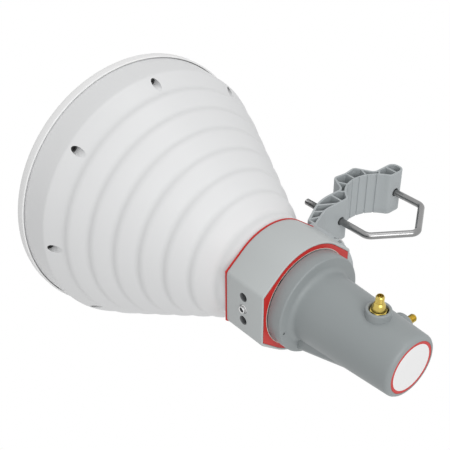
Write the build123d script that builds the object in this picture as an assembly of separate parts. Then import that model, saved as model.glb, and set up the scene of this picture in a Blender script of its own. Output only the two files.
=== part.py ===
from build123d import *
import os
from math import acos, asin, cos, hypot, radians, sin, tan

os.makedirs("parts", exist_ok=True)

# Pole-mounted horn antenna. Millimetres, +Z up along the pole.
# The origin is the pole's axis at the bracket's mid height. The horn looks towards -Y.

# Pole clamp
pole_r = 30.0                  # round channel that grips the pole
bracket_half_h = 20.4          # half the bracket's height
clamp_front = 12.3             # front faces beside the channel, ahead of the pole's axis
clamp_back = 27.5              # back faces that the nuts pull on
clamp_half_w = 46.0            # free end of the clamp block
clamp_corner_r = 6.5           # rounding of the free end
lip_r = 6.0                    # rounding where the channel runs out into the front faces
bulge_back = 44.8              # back of the bulge round the channel
bulge_dip = 1.8                # hollow in the middle of its back
bulge_top_half = 13.0          # half width of the bulge at its back
bulge_root_half = 22.0         # half width of the bulge where it leaves the block
bulge_corner_r = 5.0           # rounding at the bulge's corners
grip_groove_w = 1.2            # grooves that bite on the pole
grip_groove_depth = 0.8
grip_groove_count = 6
grip_groove_pitch = 16.0       # degrees between grooves

# Arm from the clamp to the tilt hub
pole_to_axis = 130.6           # pole's axis to the horn's axis
arm_front_x = 55.6             # where the arm's front face turns off the clamp block
arm_back_x = 49.4              # where its back face does
arm_front_bend_r = 20.0
arm_back_bend_r = 50.0
arm_front_end = 2.3            # the arm's two faces where they meet the hub
arm_back_end = 11.8

# Cells of the bracket
cell_wall = 1.9                # outer walls and channel wall
rib_t = 1.7
web_t = 4.0                    # floor between the upper and the lower cells
radial_ribs = 5                # ribs round the channel
radial_rib_pitch = 22.5        # degrees between them
arm_rib_x_shares = (0.606, 0.772, 0.881)    # middles of the arm's ribs, as shares of the hub's place
arm_rib_y_shares = (0.629, 0.509, 0.345)    # and of the clamp's back
arm_rib_leans = (32.5, 36.5, 17.7)          # degrees that they lean off the X axis

# Tilt hub and its bolts
hub_t = 6.3
hub_tail_relief = 0.6          # the tail's face lies back, clear of the horn's neck
pivot_ahead = 20.6             # pivot behind the pole's axis, along +Y
friction_disc_t = 0.6
friction_disc_r = 17.0
pivot_bolt_r = 2.5
pivot_run_gap = 0.05           # radial clearance where the hub turns on its bolt
face_gap = 0.1                 # between faces that slide on each other
lock_pitch_r = 11.15           # lock bolts from the pivot
lock_bolt_r = 3.0
lock_hole_gap = 0.3            # radial clearance of bolts in holes and slots
tilt_reach = 25.0              # degrees of tilt each way
washer_t = 1.2
washer_r = 5.6
pivot_washer_r = 4.6
bolt_head_h = 4.0
bolt_head_af = 10.0
pivot_head_af = 8.0
index_mark_w = 5.0             # pointer on the hub's top edge
index_mark_len = 3.0
index_mark_depth = 0.8

# U-bolt, its nuts and washers
rod_r = 3.0
leg_spacing = 70.7
leg_end = 54.4                 # threaded ends ahead of the pole's axis
leg_corner = 17.5              # where the legs turn to the vee, behind it
vee_tip = 42.3
rod_bend_r = 8.0
leg_hole_gap = 0.8             # radial clearance of the legs in the bracket
leg_boss_r = 6.0
nut_af = 10.0
nut_h = 5.0
nut_run_gap = 0.05
u_washer_r = 6.0
u_washer_t = 1.4
u_washer_gap = 0.4             # radial clearance of the legs in the washers

# Pivot ring
ring_round = 1.0               # round part of its outline stands this far over the flats
ring_half_h = 23.4             # half the height of the flats
ring_wall = 5.3                # from the flats to the spigot's bore
ring_rear = 20.4               # rear face ahead of the pivot, trim included
ring_front = 21.0              # front face behind the pivot
rear_trim_t = 1.2
rear_trim_proud = 0.4
ring_lip = 1.7                 # lip round the front plate
front_plate_t = 1.2
front_plate_w = 2.9            # its narrowest width, between the collar and the lip
front_plate_sunk = 0.3
seat_gap = 0.2                 # round pieces in the bores of their own body
ring_step_y = 4.0              # step of the bore, ahead of the pivot
side_hole_depth = 16.0
insert_r = 3.3
insert_len = 12.0
insert_sunk = 1.0
ring_edge_r = 0.8

# Horn
neck_inset = 1.0               # neck inside the ring's flats, where it leaves the ring
neck_swell = 1.6               # first ledge over the neck's root
first_ledge = 33.8             # mouth end of the first ledge, ahead of the pivot
flare_slope_share = 0.52       # growth of the radius for each length of flare
wave_count = 7                 # each wave ends in a ledge of constant radius
wave_pitch = 19.77
wave_ledge = 4.0
wave_bulge = 0.3               # rise of each wave over its chord
last_run = 16.2                # from the last ledge to the band at the mouth
last_rise = 9.6176             # growth of the radius over that run
band_taper = 2.1               # the band narrows by this much away from the mouth
mouth_band = 31.3              # nearly straight band at the mouth
horn_wall = 3.4
mouth_lip_w = 14.0             # width of the flange at the mouth
mouth_lip_t = 5.0
spigot_len = 7.4               # horn's spigot in the ring
guide_r = 20.5                 # round waveguide, from the throat to the short
throat_wall = 3.4
throat_end = 14.0              # end of the throat behind the pivot

# Flange screws
flange_screws_n = 8
flange_screw_inset = 7.0       # screws from the mouth's edge
pocket_r = 3.5
pocket_boss_wall = 1.8
pocket_floor = 13.9            # pocket floor behind the mouth's face
flange_screw_r = 1.75
flange_head_r = 3.0
flange_head_h = 3.5
flange_screw_len = 17.5
screw_hole_gap = 0.1

# Radome
seal_t = 1.25
radome_skirt_t = 1.5
radome_skirt_gap = 0.4         # dark line between the flange and the skirt
radome_skirt_len = 4.7         # skirt's reach over the flange
radome_rim_t = 4.0
radome_wall = 3.2
radome_dome = 7.0              # rise of the dome over its rim
radome_edge_r = 3.3

# Twist port
socket_rim_w = 3.0             # ring's flats outside the socket's flange
socket_flange_w = 7.2
socket_flange_t = 2.0
socket_body_len = 6.0
socket_tube_end = 31.0         # behind the pivot
socket_tube_room = 10.6        # from the adaptor's spigot to the tube's outside
lugs_n = 3
lug_span = 32.0                # degrees
tooth_span = 50.0              # degrees
lug_h = 3.1
lug_t = 3.0
tooth_t = 3.7
bayonet_gap = 0.4              # between lugs, teeth and collar
port_seal_w = 4.5
port_seal_inset = 3.4          # seal from the tube's outside
port_seal_t = 1.2
socket_screws_n = 4
socket_screw_r = 1.5
socket_screw_head_r = 2.7
socket_screw_head_h = 1.6
socket_screw_len = 10.0

# Coaxial adaptor
collar_wall = 2.9
collar_lift = 0.3              # collar over the ring's front face
collar_end = 34.4              # collar's end face behind the pivot
collar_edge_r = 1.4
body_root_wall = 5.7           # body over its spigot, where it leaves the collar
body_root_fillet_r = 4.0
body_tail_wall = 1.2           # and at its end
body_end = 123.6               # end face behind the pivot
body_end_r = 3.4               # rounding of the end
body_wall_end = 3.0            # end wall
liner_wall = 1.5
liner_short_t = 2.0
liner_gap = 0.1
spigot_wall = 1.7
keel_half_w = 21.0             # wedge under the body, from the collar down to the body's cone
keel_root_inset = 2.4          # wedge inside the collar, at its root
keel_tail_rise = 1.9           # wedge over the body, at its tail
keel_tail = 83.0
witness_hole_r = 0.8           # small hole in the collar's face
witness_inset = 3.8            # its middle from the collar's edge
witness_angle = -12.0          # degrees from +X towards +Z
witness_depth = 1.2
label_margin = 3.9             # from the label's edge to the body's
label_ring_w = 2.2
label_t = 0.5
label_recess = 0.6

# Coaxial connectors
port_y = 90.0                  # connectors behind the pivot
boss_r = 9.5
boss_edge_r = 0.8
well_r = 7.2
well_wall = 2.4                # from the housing's bore to the well's floor
well_depth = 7.5
hex_af = 11.6
hex_h = 3.6
cone_h = 8.0
thread_r = 3.175
tip_proud = 11.4               # connector's tip over the boss
tip_bore_r = 2.35
tip_bore_depth = 4.0
insulator_r = 2.05
insulator_gap = 0.1
probe_r = 0.65
probe_reach = 12.5             # probe's length in the waveguide
probe_short = 1.6              # probe's outer end inside the tip
o_ring_t = 0.8
o_ring_in_r = 2.6
o_ring_out_r = 5.4

# One overrun for every cut
over = 1.0

# Places worked out from the sizes above
pivot = Vector(pole_to_axis, pivot_ahead, 0)
liner_r = guide_r + liner_wall
body_bore_r = liner_r + liner_gap
spigot_out_r = body_bore_r + spigot_wall
socket_tube_r = spigot_out_r + socket_tube_room
collar_bore_r = socket_tube_r + lug_h + bayonet_gap
collar_r = collar_bore_r + collar_wall
ring_half_w = collar_r + bayonet_gap + front_plate_w + seat_gap + ring_lip
ring_r = ring_half_w + ring_round
flat_x = pole_to_axis - ring_half_w
hub_face_x = flat_x - friction_disc_t - face_gap
hub_back_x = hub_face_x - hub_t
spigot_r = ring_half_w - ring_wall - seat_gap
neck_root_r = ring_half_w - neck_inset
first_ledge_r = neck_root_r + neck_swell
band_root_r = first_ledge_r + flare_slope_share * (wave_count - 1) * wave_pitch + last_rise
mouth_r = band_root_r + band_taper
mouth_lip_r = mouth_r - mouth_lip_w
flange_screw_pitch_r = mouth_r - flange_screw_inset
ledge_ends = [-first_ledge - k * wave_pitch for k in range(wave_count)]
band_y = ledge_ends[-1] - last_run
mouth_y = band_y - mouth_band
pocket_floor_y = mouth_y + pocket_floor
radome_y = mouth_y - seal_t
liner_end = body_end - label_recess - body_wall_end
socket_flange_r = ring_half_w - socket_rim_w
socket_body_r = socket_flange_r - socket_flange_w
socket_screw_pitch_r = (socket_flange_r + socket_body_r) / 2
port_seal_out_r = socket_tube_r - port_seal_inset
port_seal_in_r = port_seal_out_r - port_seal_w
collar_floor = socket_tube_end + port_seal_t + seat_gap
collar_start = ring_front + collar_lift
tooth_start = collar_start + over
lug_start = tooth_start + tooth_t + bayonet_gap
socket_face = ring_front - front_plate_sunk - front_plate_t
body_root_r = spigot_out_r + body_root_wall
body_tail_r = spigot_out_r + body_tail_wall
keel_root_r = collar_r - keel_root_inset
keel_tail_r = body_tail_r + keel_tail_rise
witness_pitch_r = collar_r - witness_inset
label_r = body_tail_r - label_margin
well_floor = body_bore_r + well_wall
boss_top = well_floor + well_depth
connector_tip = boss_top + tip_proud
probe_in = guide_r - probe_reach
leg_x = leg_spacing / 2


def on_pivot(shape):
    """Moves a shape drawn about the pivot to its place."""
    return Pos(pivot.X, pivot.Y, 0) * shape


def revolved(face):
    """Turns a profile of radius against distance about the horn's axis."""
    return on_pivot(revolve(face, axis=Axis.Y))


def turned(points, radii=0.0):
    """Turned piece from an outline of radius and distance, with rounded corners."""
    return revolved(make_face(FilletPolyline(points, radius=radii, close=True)))


def along_axis(radius, start, end, x=0.0, z=0.0):
    """Cylinder along the horn's axis, from start to end behind the pivot."""
    rod = extrude(Circle(radius), end - start)
    return on_pivot(Pos(x, start, z) * Rot(-90, 0, 0) * rod)


def across_hub(radius, start_x, end_x, y=0.0, z=0.0):
    """Cylinder along X, placed from the pivot across the hub."""
    rod = extrude(Circle(radius), end_x - start_x)
    return Pos(start_x, pivot.Y + y, z) * Rot(0, 90, 0) * rod


def hex_across_hub(flats, start_x, end_x, y=0.0, z=0.0):
    """Hexagon along X, placed from the pivot across the hub."""
    head = extrude(RegularPolygon(flats / 2, 6, major_radius=False), end_x - start_x)
    return Pos(start_x, pivot.Y + y, z) * Rot(0, 90, 0) * head


def around_axis(shape, count, first=0.0):
    """Copies of a shape at equal angles round the horn's axis."""
    centre = Axis((pivot.X, pivot.Y, 0), (0, 1, 0))
    return [shape.rotate(centre, first + k * 360 / count) for k in range(count)]


def group(shapes):
    """Separate solids that share one node."""
    return Compound(children=[solid for shape in shapes for solid in shape.solids()])


def bracket_outline():
    """Plan of the clamp block, its bulge and the arm, before the channel is cut."""
    points = [
        (-clamp_half_w, -clamp_front),
        (arm_front_x, -clamp_front),
        (hub_back_x, -arm_front_end),
        (hub_back_x, -arm_back_end),
        (arm_back_x, -clamp_back),
        (bulge_root_half, -clamp_back),
        (bulge_top_half, -bulge_back),
        (0, -bulge_back + bulge_dip),
        (-bulge_top_half, -bulge_back),
        (-bulge_root_half, -clamp_back),
        (-clamp_half_w, -clamp_back),
    ]
    radii = [
        clamp_corner_r, arm_front_bend_r, 0, 0, arm_back_bend_r,
        bulge_corner_r, bulge_corner_r, bulge_top_half, bulge_corner_r, bulge_corner_r, clamp_corner_r,
    ]
    plan = make_face(FilletPolyline(points, radius=radii, close=True)) - Circle(pole_r)
    lip_x = (pole_r**2 - clamp_front**2) ** 0.5
    lips = plan.vertices().sort_by(lambda v: abs(abs(v.X) - lip_x) + abs(v.Y + clamp_front))[:2]
    return fillet(lips, lip_r)


def rib_bars():
    """Plan of the ribs: radial round the channel, straight at the legs, slanted in the arm."""
    bars = []
    reach = bulge_back + over
    for k in range(radial_ribs):
        angle = -90 + (k - (radial_ribs - 1) / 2) * radial_rib_pitch
        bars.append(Rot(0, 0, angle) * Pos(reach / 2, 0) * Rectangle(reach, rib_t))
    for side in (-1, 1):
        bars.append(Pos(side * leg_x, -clamp_back / 2) * Rectangle(rib_t, 2 * clamp_back))
    for x_share, y_share, lean in zip(arm_rib_x_shares, arm_rib_y_shares, arm_rib_leans):
        middle = Pos(x_share * hub_back_x, -y_share * clamp_back)
        bars.append(middle * Rot(0, 0, -lean) * Rectangle(clamp_back, rib_t))
    return bars


def bracket_cells():
    """Open cells between the walls and the ribs, upper and lower."""
    plan = offset(bracket_outline(), amount=-cell_wall)
    for bar in rib_bars():
        plan = plan - bar
    depth = bracket_half_h - web_t / 2
    cells = []
    for face in plan.faces():
        if face.area < rib_t * cell_wall * 2:
            continue
        cell = extrude(face, depth + over)
        cells.append(Pos(0, 0, web_t / 2) * cell)
        cells.append(Pos(0, 0, -web_t / 2 - depth - over) * cell)
    return cells


def hub_plate():
    """Flat hub against the ring: a full disc, and a thinner tail that clears the tilting horn."""
    tail = pivot.Y + arm_back_end
    tail_plan = (Pos(-tail / 2, 0) * Rectangle(tail, 2 * bracket_half_h)) & Circle(first_ledge - face_gap)
    plate = extrude(Circle(bracket_half_h), hub_t) + extrude(tail_plan, hub_t - hub_tail_relief)
    return Pos(hub_back_x, pivot.Y, 0) * Rot(0, 90, 0) * Rot(0, 0, 90) * plate


def lock_slots():
    """Two curved slots that let the lock bolts follow the tilt."""
    slots = []
    for middle in (90, 270):
        path = CenterArc((0, 0), lock_pitch_r, middle - tilt_reach, 2 * tilt_reach)
        slot = extrude(SlotArc(path, 2 * (lock_bolt_r + lock_hole_gap)), hub_t + 2 * over)
        slots.append(Pos(hub_back_x - over, pivot.Y, 0) * Rot(0, 90, 0) * Rot(0, 0, 90) * slot)
    return slots


def index_mark():
    """Small sunk pointer on the hub's top edge, over the pivot."""
    half = index_mark_w / 2
    mark = extrude(make_face(Polyline((0, -half), (0, half), (index_mark_len, 0), close=True)),
                   index_mark_depth + over)
    return Pos(hub_back_x, pivot.Y, bracket_half_h - index_mark_depth) * mark


def grip_grooves():
    """Upright grooves in the channel's wall."""
    grooves = []
    for k in range(grip_groove_count):
        angle = -90 + (k - (grip_groove_count - 1) / 2) * grip_groove_pitch
        bar = Box(2 * grip_groove_depth, grip_groove_w, 2 * (bracket_half_h + over))
        grooves.append(Rot(0, 0, angle) * Pos(pole_r, 0, 0) * bar)
    return grooves


def make_pole_bracket():
    """Moulded bracket: ribbed clamp block and arm, with the tilt hub at its end."""
    block = Pos(0, 0, -bracket_half_h) * extrude(bracket_outline(), 2 * bracket_half_h)
    block = block - bracket_cells()
    leg_span = clamp_back - clamp_front
    for side in (-1, 1):
        boss = extrude(Circle(leg_boss_r), leg_span - cell_wall)
        block = block + Pos(side * leg_x, -clamp_back + cell_wall / 2, 0) * Rot(-90, 0, 0) * boss
    block = block + hub_plate()
    for side in (-1, 1):
        hole = extrude(Circle(rod_r + leg_hole_gap), leg_span + 2 * over)
        block = block - Pos(side * leg_x, -clamp_back - over, 0) * Rot(-90, 0, 0) * hole
    block = block - grip_grooves() - lock_slots() - index_mark()
    pivot_hole = across_hub(pivot_bolt_r + pivot_run_gap, hub_back_x - over, hub_face_x + over)
    return block - pivot_hole


def make_friction_disc():
    """Thin disc between the hub and the ring's flat."""
    disc = across_hub(friction_disc_r, hub_face_x, hub_face_x + friction_disc_t)
    disc = disc - across_hub(pivot_bolt_r + pivot_run_gap, hub_face_x - over, flat_x)
    for slot in lock_slots():
        disc = disc - Pos(hub_t + over, 0, 0) * slot
    return disc


def make_pivot_bolt():
    """Hexagon bolt that the hub turns on, screwed into the ring's insert."""
    head_x = hub_back_x - face_gap - washer_t
    shank = across_hub(pivot_bolt_r, head_x, flat_x + insert_sunk + insert_len)
    return shank + hex_across_hub(pivot_head_af, head_x - bolt_head_h, head_x)


def make_lock_bolts():
    """Two bolts through the curved slots into the ring."""
    head_x = hub_back_x - face_gap - washer_t
    bolts = []
    for side in (-1, 1):
        shank = across_hub(lock_bolt_r, head_x, flat_x + insert_len, z=side * lock_pitch_r)
        head = hex_across_hub(bolt_head_af, head_x - bolt_head_h, head_x, z=side * lock_pitch_r)
        bolts.append(shank + head)
    return group(bolts)


def make_hub_washers():
    """Washers under the three bolt heads."""
    start = hub_back_x - face_gap - washer_t
    washers = []
    for side, outer, inner in ((-1, washer_r, lock_bolt_r), (0, pivot_washer_r, pivot_bolt_r),
                               (1, washer_r, lock_bolt_r)):
        z = side * lock_pitch_r
        disc = across_hub(outer, start, start + washer_t, z=z)
        washers.append(disc - across_hub(inner + seat_gap, start - over, start + washer_t + over, z=z))
    return group(washers)


def make_u_bolt():
    """Bent rod: two threaded legs along Y and a vee behind the pole."""
    points = [
        (leg_x, -leg_end, 0), (leg_x, leg_corner, 0), (0, vee_tip, 0),
        (-leg_x, leg_corner, 0), (-leg_x, -leg_end, 0),
    ]
    path = FilletPolyline(points, radius=rod_bend_r)
    section = Plane(origin=points[0], z_dir=(0, 1, 0)) * Circle(rod_r)
    return sweep(section, path=path)


def leg_pieces(plan, start, thickness):
    """One piece on each leg, from start away from the pole."""
    piece = Rot(90, 0, 0) * extrude(plan, thickness)
    return group([Pos(side * leg_x, -start, 0) * piece for side in (-1, 1)])


def make_u_bolt_washers():
    plan = Circle(u_washer_r) - Circle(rod_r + u_washer_gap)
    return leg_pieces(plan, clamp_back, u_washer_t)


def make_u_bolt_nuts():
    plan = RegularPolygon(nut_af / 2, 6, major_radius=False) - Circle(rod_r + nut_run_gap)
    return leg_pieces(plan, clamp_back + u_washer_t, nut_h)


def ring_plan(grow=0.0):
    """Outline of the ring: a circle, two flats and the straight lines between them."""
    radius = ring_r + grow
    half_w = ring_half_w + grow
    half_h = ring_half_h + grow
    corner = hypot(half_w, half_h)
    lean = acos(half_w / corner) + acos(radius / corner)
    tx = radius * cos(lean)
    tz = radius * sin(lean)
    sides = Polyline((half_w, half_h), (tx, tz), (-tx, tz), (-half_w, half_h),
                     (-half_w, -half_h), (-tx, -tz), (tx, -tz), (half_w, -half_h), close=True)
    return make_face(sides) + (Circle(radius) & Rectangle(2 * half_w, 2 * radius))


def ring_slab(start, end, grow=0.0):
    """Slab with the ring's outline, from start to end behind the pivot."""
    return on_pivot(Pos(0, start, 0) * Rot(-90, 0, 0) * extrude(ring_plan(grow), end - start))


def side_holes(side):
    """Three holes in one flat of the ring, in a line along Z."""
    outer = pole_to_axis + side * (ring_half_w + over)
    inner = pole_to_axis + side * (ring_half_w - side_hole_depth)
    low, high = sorted((outer, inner))
    return [across_hub(lock_bolt_r + lock_hole_gap, low, high, z=k * lock_pitch_r) for k in (-1, 0, 1)]


def make_pivot_ring():
    """Housing that holds the horn's neck and the twist port, and carries the tilt pivot."""
    body = ring_slab(-ring_rear + rear_trim_t, ring_front)
    body = fillet(body.edges().group_by(Axis.Y)[-1], ring_edge_r)
    body = body - ring_slab(socket_face, ring_front + over, -ring_lip)
    body = body - along_axis(spigot_r + seat_gap, -ring_rear - over, -ring_step_y)
    body = body - along_axis(socket_body_r + seat_gap, -ring_step_y - over, ring_front)
    body = body - along_axis(socket_flange_r + seat_gap, socket_face - socket_flange_t, ring_front)
    for side in (-1, 1):
        body = body - side_holes(side)
    screw_hole = along_axis(socket_screw_r + screw_hole_gap, socket_face - socket_flange_t - socket_screw_len,
                            socket_face, x=socket_screw_pitch_r)
    return body - around_axis(screw_hole, socket_screws_n, 45)


def make_ring_inserts():
    """Threaded inserts in the middle hole of each flat."""
    inserts = []
    for side in (-1, 1):
        outer = pole_to_axis + side * (ring_half_w - insert_sunk)
        inner = outer - side * insert_len
        low, high = sorted((outer, inner))
        sleeve = across_hub(insert_r - pivot_run_gap, low, high)
        inserts.append(sleeve - across_hub(pivot_bolt_r + pivot_run_gap, low - over, high + over))
    return group(inserts)


def make_ring_rear_trim():
    """Thin coloured plate between the ring and the horn's neck."""
    plate = ring_slab(-ring_rear, -ring_rear + rear_trim_t, rear_trim_proud)
    return plate - along_axis(spigot_r + seat_gap, -ring_rear - over, 0)


def make_ring_front_plate():
    """Coloured plate let into the ring's front face."""
    plate = ring_slab(socket_face, ring_front - front_plate_sunk, -ring_lip - seat_gap)
    return plate - along_axis(collar_r + bayonet_gap, 0, ring_front)


def horn_skin():
    """Outside line of the flare: a plain neck, then waves that each end in a ledge, then the band."""
    lines = []
    start = (neck_root_r, -ring_rear)
    for k, end in enumerate(ledge_ends):
        radius = first_ledge_r + flare_slope_share * k * wave_pitch
        crest = (radius, end + wave_ledge)
        if k > 0:
            middle = ((start[0] + crest[0]) / 2 + wave_bulge, (start[1] + crest[1]) / 2)
            lines.append(ThreePointArc(start, middle, crest))
        else:
            lines.append(Line(start, crest))
        lines.append(Line(crest, (radius, end)))
        start = (radius, end)
    lines.append(Line(start, (band_root_r, band_y)))
    lines.append(Line((band_root_r, band_y), (mouth_r, mouth_y)))
    return lines


def closed_profile(lines, points):
    """Face bounded by a chain of lines and the points that lead back to its start."""
    edges = [edge for line in lines for edge in line.edges()]
    chain = [lines[-1] @ 1] + [Vector(*point) for point in points] + [lines[0] @ 0]
    edges += [Edge.make_line(a, b) for a, b in zip(chain, chain[1:])]
    return make_face(Wire(edges))


def flare_bore_r(y):
    """Radius of the horn's smooth inside at a distance from the pivot."""
    return first_ledge_r - horn_wall - flare_slope_share * (first_ledge + y)


def make_horn_flare():
    """Flared shell with waves outside, a smooth cone inside and a flange at the mouth."""
    throat_r = guide_r + throat_wall
    spigot_y = -ring_rear + spigot_len
    cone_end = (first_ledge_r - horn_wall - guide_r) / flare_slope_share - first_ledge
    shell = revolved(closed_profile(horn_skin(), [
        (mouth_lip_r, mouth_y),
        (mouth_lip_r, mouth_y + mouth_lip_t),
        (mouth_r - horn_wall, mouth_y + mouth_lip_t),
        (flare_bore_r(band_y), band_y),
        (guide_r, cone_end),
        (guide_r, throat_end),
        (throat_r, throat_end),
        (throat_r, cone_end),
        (flare_bore_r(spigot_y) + throat_wall, spigot_y),
        (spigot_r, spigot_y),
        (spigot_r, -ring_rear),
    ]))
    envelope = revolved(closed_profile(horn_skin(), [(0, mouth_y), (0, -ring_rear)]))
    pocket_x = flange_screw_pitch_r
    boss = along_axis(pocket_r + pocket_boss_wall, mouth_y, -first_ledge, x=pocket_x) & envelope
    shell = shell + around_axis(boss, flange_screws_n)
    pocket = along_axis(pocket_r, pocket_floor_y, -first_ledge, x=pocket_x)
    hole = along_axis(flange_screw_r + screw_hole_gap, mouth_y - over, pocket_floor_y + over, x=pocket_x)
    return shell - around_axis(pocket, flange_screws_n) - around_axis(hole, flange_screws_n)


def make_flange_screws():
    """Socket-head screws at the bottom of the horn's pockets."""
    x = flange_screw_pitch_r
    shank = along_axis(flange_screw_r, pocket_floor_y - flange_screw_len, pocket_floor_y, x=x)
    head = along_axis(flange_head_r, pocket_floor_y, pocket_floor_y + flange_head_h, x=x)
    return group(around_axis(shank + head, flange_screws_n))


def make_radome_seal():
    """Flat gasket between the horn's flange and the radome."""
    outer = mouth_r - radome_skirt_gap
    ring = along_axis(outer, radome_y, mouth_y) - along_axis(mouth_lip_r, radome_y - over, mouth_y + over)
    hole = along_axis(flange_screw_r + screw_hole_gap, radome_y - over, mouth_y + over,
                      x=flange_screw_pitch_r)
    return ring - around_axis(hole, flange_screws_n)


def cap_arc(apex_y, edge_r, edge_y):
    """Arc of a shallow dome, from its apex on the horn's axis to its edge."""
    rise = edge_y - apex_y
    radius = (edge_r ** 2 + rise ** 2) / (2 * rise)
    half = asin(edge_r / radius) / 2
    middle = (radius * sin(half), apex_y + radius * (1 - cos(half)))
    return ThreePointArc((0, apex_y), middle, (edge_r, edge_y))


def make_radome():
    """Domed front cover with a skirt round the flange."""
    skirt_in = mouth_r + radome_skirt_gap
    rim_r = skirt_in + radome_skirt_t
    rim_y = radome_y - radome_rim_t
    dome_y = rim_y - radome_dome
    skirt_y = mouth_y + radome_skirt_len
    dome = cap_arc(dome_y, rim_r - radome_edge_r, rim_y)
    turn = radome_edge_r * sin(radians(45))
    edge = ThreePointArc((rim_r - radome_edge_r, rim_y),
                         (rim_r - radome_edge_r + turn, rim_y + radome_edge_r - turn),
                         (rim_r, rim_y + radome_edge_r))
    side = Line((rim_r, rim_y + radome_edge_r), (rim_r, skirt_y))
    cover = revolved(closed_profile([dome, edge, side], [
        (skirt_in, skirt_y), (skirt_in, radome_y), (0, radome_y),
    ]))
    inside = cap_arc(dome_y + radome_wall, mouth_lip_r, radome_y)
    cover = cover - revolved(closed_profile([inside], [(0, radome_y)]))
    hole = along_axis(flange_screw_r + screw_hole_gap, radome_y - radome_rim_t + over, radome_y + over,
                      x=flange_screw_pitch_r)
    return cover - around_axis(hole, flange_screws_n)


def arc_blocks(in_r, out_r, start, end, span, count, first):
    """Equal blocks of a ring round the horn's axis, each span degrees wide."""
    face = make_face(Polyline((in_r, start), (out_r, start), (out_r, end), (in_r, end), close=True))
    block = on_pivot(revolve(face, axis=Axis.Y, revolution_arc=span))
    return around_axis(block, count, first - span / 2)


def make_port_socket():
    """Fixed half of the twist port: a flanged tube with lugs outside."""
    bore = guide_r + throat_wall + seat_gap
    flange_y = socket_face - socket_flange_t
    tube = turned([
        (bore, flange_y - socket_body_len), (socket_body_r, flange_y - socket_body_len),
        (socket_body_r, flange_y), (socket_flange_r, flange_y),
        (socket_flange_r, socket_face), (socket_tube_r, socket_face),
        (socket_tube_r, socket_tube_end), (bore, socket_tube_end),
    ])
    lug_r = collar_bore_r - bayonet_gap
    lugs = arc_blocks(socket_tube_r - over, lug_r, lug_start, lug_start + lug_t, lug_span, lugs_n, 90)
    tube = tube + lugs
    head = along_axis(socket_screw_head_r + screw_hole_gap, socket_face - socket_screw_head_h,
                      socket_face + over, x=socket_screw_pitch_r)
    hole = along_axis(socket_screw_r + screw_hole_gap, flange_y - over, socket_face, x=socket_screw_pitch_r)
    return tube - around_axis(head, socket_screws_n, 45) - around_axis(hole, socket_screws_n, 45)


def make_socket_screws():
    """Screws that hold the socket's flange in the ring."""
    x = socket_screw_pitch_r
    top = socket_face
    flange_y = socket_face - socket_flange_t
    shank = along_axis(socket_screw_r, flange_y - socket_screw_len, top - socket_screw_head_h, x=x)
    head = along_axis(socket_screw_head_r, top - socket_screw_head_h, top, x=x)
    return group(around_axis(shank + head, socket_screws_n, 45))


def make_port_seal():
    """Flat seal on the end of the socket."""
    start = socket_tube_end
    ring = along_axis(port_seal_out_r, start, start + port_seal_t)
    return ring - along_axis(port_seal_in_r, start - over, start + port_seal_t + over)


def radial(shape, start):
    """Moves a shape drawn along +Z from the horn's axis to the top connector's place."""
    return on_pivot(Pos(0, port_y, start) * shape)


def both_ports(shape):
    """The same shape at the top port and, a quarter turn round, at the side port."""
    centre = Axis((pivot.X, pivot.Y, 0), (0, 1, 0))
    return [shape, shape.rotate(centre, -90)]


def body_profile():
    """Outside of the adaptor from its collar to its end, as radius and distance, with its bores."""
    points = [
        (body_bore_r, throat_end + bayonet_gap), (spigot_out_r, throat_end + bayonet_gap),
        (spigot_out_r, collar_floor), (collar_bore_r, collar_floor),
        (collar_bore_r, collar_start), (collar_r, collar_start),
        (collar_r, collar_end), (body_root_r, collar_end), (body_tail_r, body_end),
        (label_r + seat_gap, body_end), (label_r + seat_gap, body_end - label_recess),
        (0, body_end - label_recess), (0, liner_end),
        (body_bore_r, liner_end),
    ]
    radii = [0, 0, 0, 0, 0, 0, collar_edge_r, body_root_fillet_r, body_end_r, 0, 0, 0, 0, 0]
    return points, radii


def adaptor_keel():
    """Wedge with upright sides under the body, as deep as the collar at its root."""
    root = collar_end - over
    cone = revolved(make_face(Polyline((0, root), (keel_root_r, root), (keel_tail_r, keel_tail),
                                       (0, keel_tail), close=True)))
    sides = Pos(0, (root + keel_tail) / 2, -collar_r / 2) * Box(2 * keel_half_w, keel_tail - root, collar_r)
    return (cone & on_pivot(sides)) - along_axis(body_bore_r, 0, liner_end)


def make_adaptor_housing():
    """Moulded body of the coaxial adaptor: collar with teeth, tapered body, two bosses."""
    points, radii = body_profile()
    body = turned(points, radii) + adaptor_keel()
    tooth_r = socket_tube_r + bayonet_gap
    body = body + arc_blocks(tooth_r, collar_bore_r + over, tooth_start, tooth_start + tooth_t,
                             tooth_span, lugs_n, 90)
    post = extrude(Circle(boss_r), boss_top - liner_r - over)
    boss = radial(fillet(post.edges().group_by(Axis.Z)[-1], boss_edge_r), liner_r + over)
    well = radial(extrude(Circle(well_r), boss_top - well_floor + over), well_floor)
    hole = radial(extrude(Circle(insulator_r + insulator_gap), well_floor), guide_r)
    body = body + both_ports(boss) - both_ports(well) - both_ports(hole)
    turn = radians(witness_angle)
    return body - along_axis(witness_hole_r, collar_end - witness_depth, collar_end + over,
                             x=witness_pitch_r * cos(turn), z=witness_pitch_r * sin(turn))


def make_waveguide_liner():
    """Metal lining of the adaptor, open to the throat and shorted at its end."""
    tube = turned([
        (guide_r, throat_end + bayonet_gap), (liner_r, throat_end + bayonet_gap),
        (liner_r, liner_end - liner_gap), (0, liner_end - liner_gap),
        (0, liner_end - liner_short_t), (guide_r, liner_end - liner_short_t),
    ])
    hole = radial(extrude(Circle(insulator_r + insulator_gap), liner_r), guide_r - over)
    return tube - both_ports(hole)


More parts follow.
